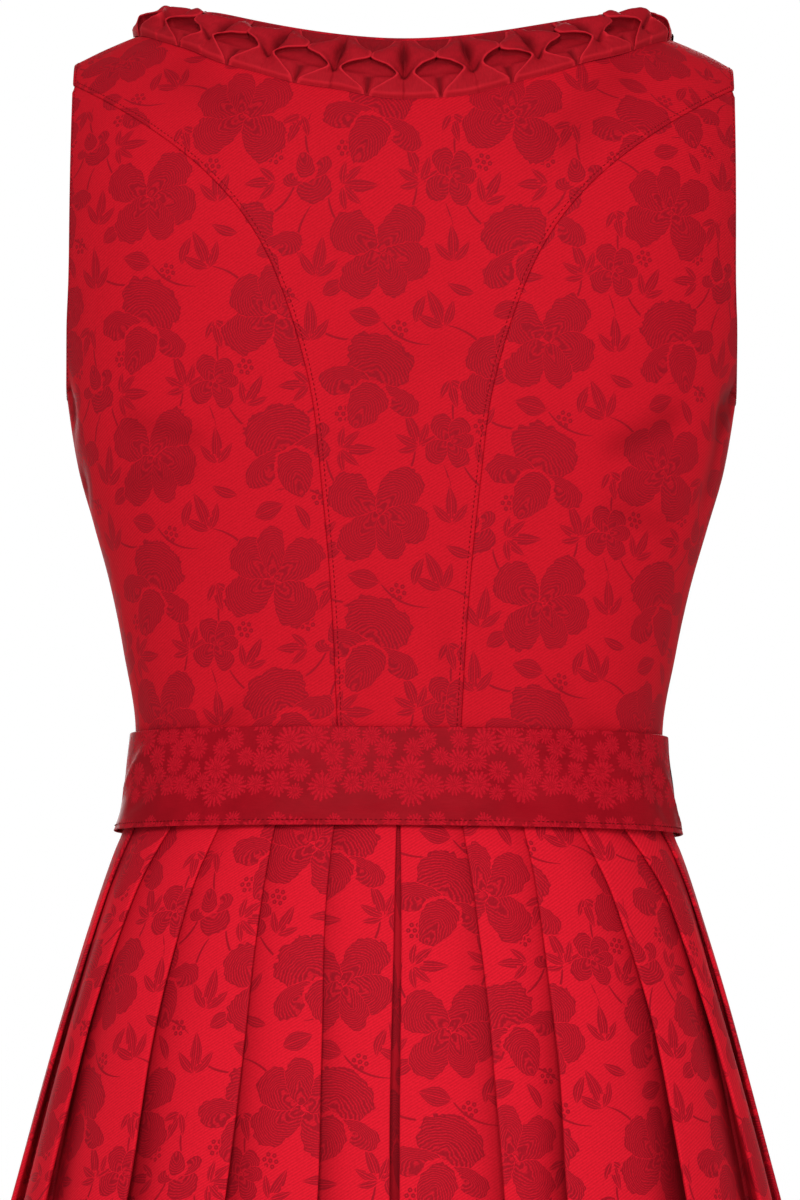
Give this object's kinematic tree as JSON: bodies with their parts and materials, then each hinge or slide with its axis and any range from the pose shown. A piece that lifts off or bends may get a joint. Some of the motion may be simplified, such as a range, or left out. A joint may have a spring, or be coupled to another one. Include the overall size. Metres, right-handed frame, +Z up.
{
  "type": "dirndl with dirndl apron",
  "caption": "Sleeveless red folk dress with frog-mouth ruching at the neck, a buttoned front, a pleated skirt, and a satin apron tied in a bow.",
  "frame": {"origin": "midway between the two shoulder straps, at the height of their inner ends, where the wearer's shoulders hold the dress up", "axes": "+Z up, +Y out of the wearer's back, so the front faces -Y, and +X to the wearer's left"},
  "size_m": [0.5971, 0.4686, 1.0936],
  "materials": {
    "bodice_cloth": "jacquard woven cotton, softly matt, tone on tone flowers",
    "ruche_cloth": "the same cloth, folded",
    "skirt_cloth": "jacquard woven cotton, softly matt, tone on tone flowers",
    "apron_cloth": "satin with small daisies, soft sheen",
    "button": "antique, satin"
  },
  "bodies": {
    "root": {"bodice_back_centre": "bodice_cloth", "bodice_back_side_left": "bodice_cloth", "bodice_back_side_right": "bodice_cloth", "bodice_front_left": "bodice_cloth", "bodice_front_right": "bodice_cloth", "bodice_front_side_left": "bodice_cloth", "bodice_front_side_right": "bodice_cloth", "front_placket": "bodice_cloth", "neck_ruching_back": "ruche_cloth", "neck_ruching_front_left": "ruche_cloth", "neck_ruching_front_right": "ruche_cloth", "skirt_back": "skirt_cloth", "skirt_front_left": "skirt_cloth", "skirt_front_right": "skirt_cloth", "apron_tie_left": "apron_cloth", "apron_tie_right": "apron_cloth", "apron_waistband": "apron_cloth", "apron_panel": "apron_cloth", "bow_knot": "apron_cloth", "bow_loop_left": "apron_cloth", "bow_loop_right": "apron_cloth", "bow_tail_left": "apron_cloth", "bow_tail_right": "apron_cloth", "button_1": "button", "button_2": "button", "button_3": "button", "button_4": "button", "button_5": "button", "button_6": "button", "button_7": "button"}
  },
  "joints": []
}
